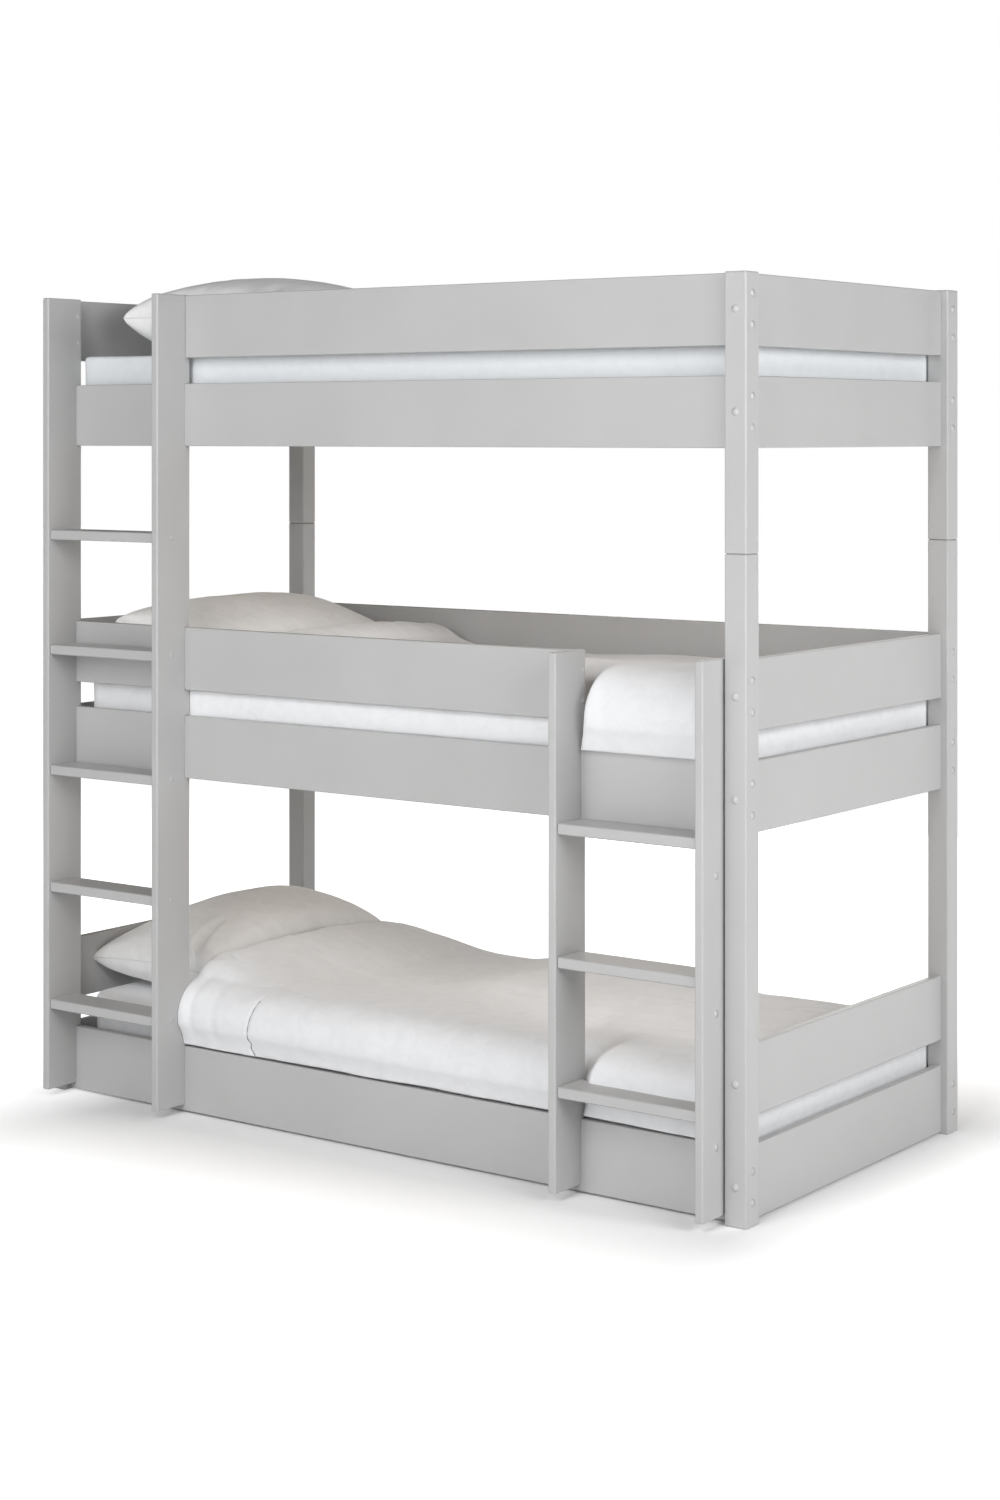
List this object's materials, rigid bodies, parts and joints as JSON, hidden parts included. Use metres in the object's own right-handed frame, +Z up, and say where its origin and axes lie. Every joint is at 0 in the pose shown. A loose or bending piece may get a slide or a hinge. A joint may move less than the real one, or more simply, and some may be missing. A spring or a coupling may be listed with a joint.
{
  "type": "triple bunk bed",
  "caption": "Painted wooden bed with three bunks above each other, a tall ladder, a short ladder, guard boards, mattresses, pillows and duvets.",
  "frame": {"origin": "middle of the bed's footprint, ladders and bolt caps included, at the floor", "axes": "+X along the bed towards the foot end, +Y from the ladders towards the rear, +Z up"},
  "size_m": [2.045, 1.058, 2.0378],
  "materials": {
    "frame_paint": "light grey satin paint",
    "slat_wood": "planed, unpainted",
    "mattress_cover": "white woven cover",
    "pillow_cotton": "white washed cotton",
    "duvet_cotton": "white washed cotton"
  },
  "bodies": {
    "root": {"board_foot_bottom_lower": "frame_paint", "board_foot_bottom_upper": "frame_paint", "board_foot_middle_lower": "frame_paint", "board_foot_middle_upper": "frame_paint", "board_foot_top_lower": "frame_paint", "board_foot_top_upper": "frame_paint", "board_head_bottom_lower": "frame_paint", "board_head_bottom_upper": "frame_paint", "board_head_middle_lower": "frame_paint", "board_head_middle_upper": "frame_paint", "board_head_top_lower": "frame_paint", "board_head_top_upper": "frame_paint", "duvet_bottom": "duvet_cotton", "duvet_middle": "duvet_cotton", "guard_middle_front": "frame_paint", "guard_middle_rear": "frame_paint", "guard_top_front": "frame_paint", "guard_top_rear": "frame_paint", "mattress_bottom": "mattress_cover", "mattress_middle": "mattress_cover", "mattress_top": "mattress_cover", "pillow_bottom": "pillow_cotton", "pillow_middle": "pillow_cotton", "pillow_top": "pillow_cotton", "post_dowel_front_foot": "frame_paint", "post_dowel_front_head": "frame_paint", "post_dowel_rear_foot": "frame_paint", "post_dowel_rear_head": "frame_paint", "post_lower_front_foot": "frame_paint", "post_lower_front_head": "frame_paint", "post_lower_rear_foot": "frame_paint", "post_lower_rear_head": "frame_paint", "post_upper_front_foot": "frame_paint", "post_upper_front_head": "frame_paint", "post_upper_rear_foot": "frame_paint", "post_upper_rear_head": "frame_paint", "rail_bottom_front": "frame_paint", "rail_bottom_rear": "frame_paint", "rail_middle_front": "frame_paint", "rail_middle_rear": "frame_paint", "rail_top_front": "frame_paint", "rail_top_rear": "frame_paint", "short_ladder_side_foot": "frame_paint", "short_ladder_side_head": "frame_paint", "short_ladder_tread_1": "frame_paint", "short_ladder_tread_2": "frame_paint", "short_ladder_tread_3": "frame_paint", "slat_base_bottom": "slat_wood", "slat_base_middle": "slat_wood", "slat_base_top": "slat_wood", "tall_ladder_side_foot": "frame_paint", "tall_ladder_side_head": "frame_paint", "tall_ladder_tread_1": "frame_paint", "tall_ladder_tread_2": "frame_paint", "tall_ladder_tread_3": "frame_paint", "tall_ladder_tread_4": "frame_paint", "tall_ladder_tread_5": "frame_paint"}
  },
  "joints": []
}
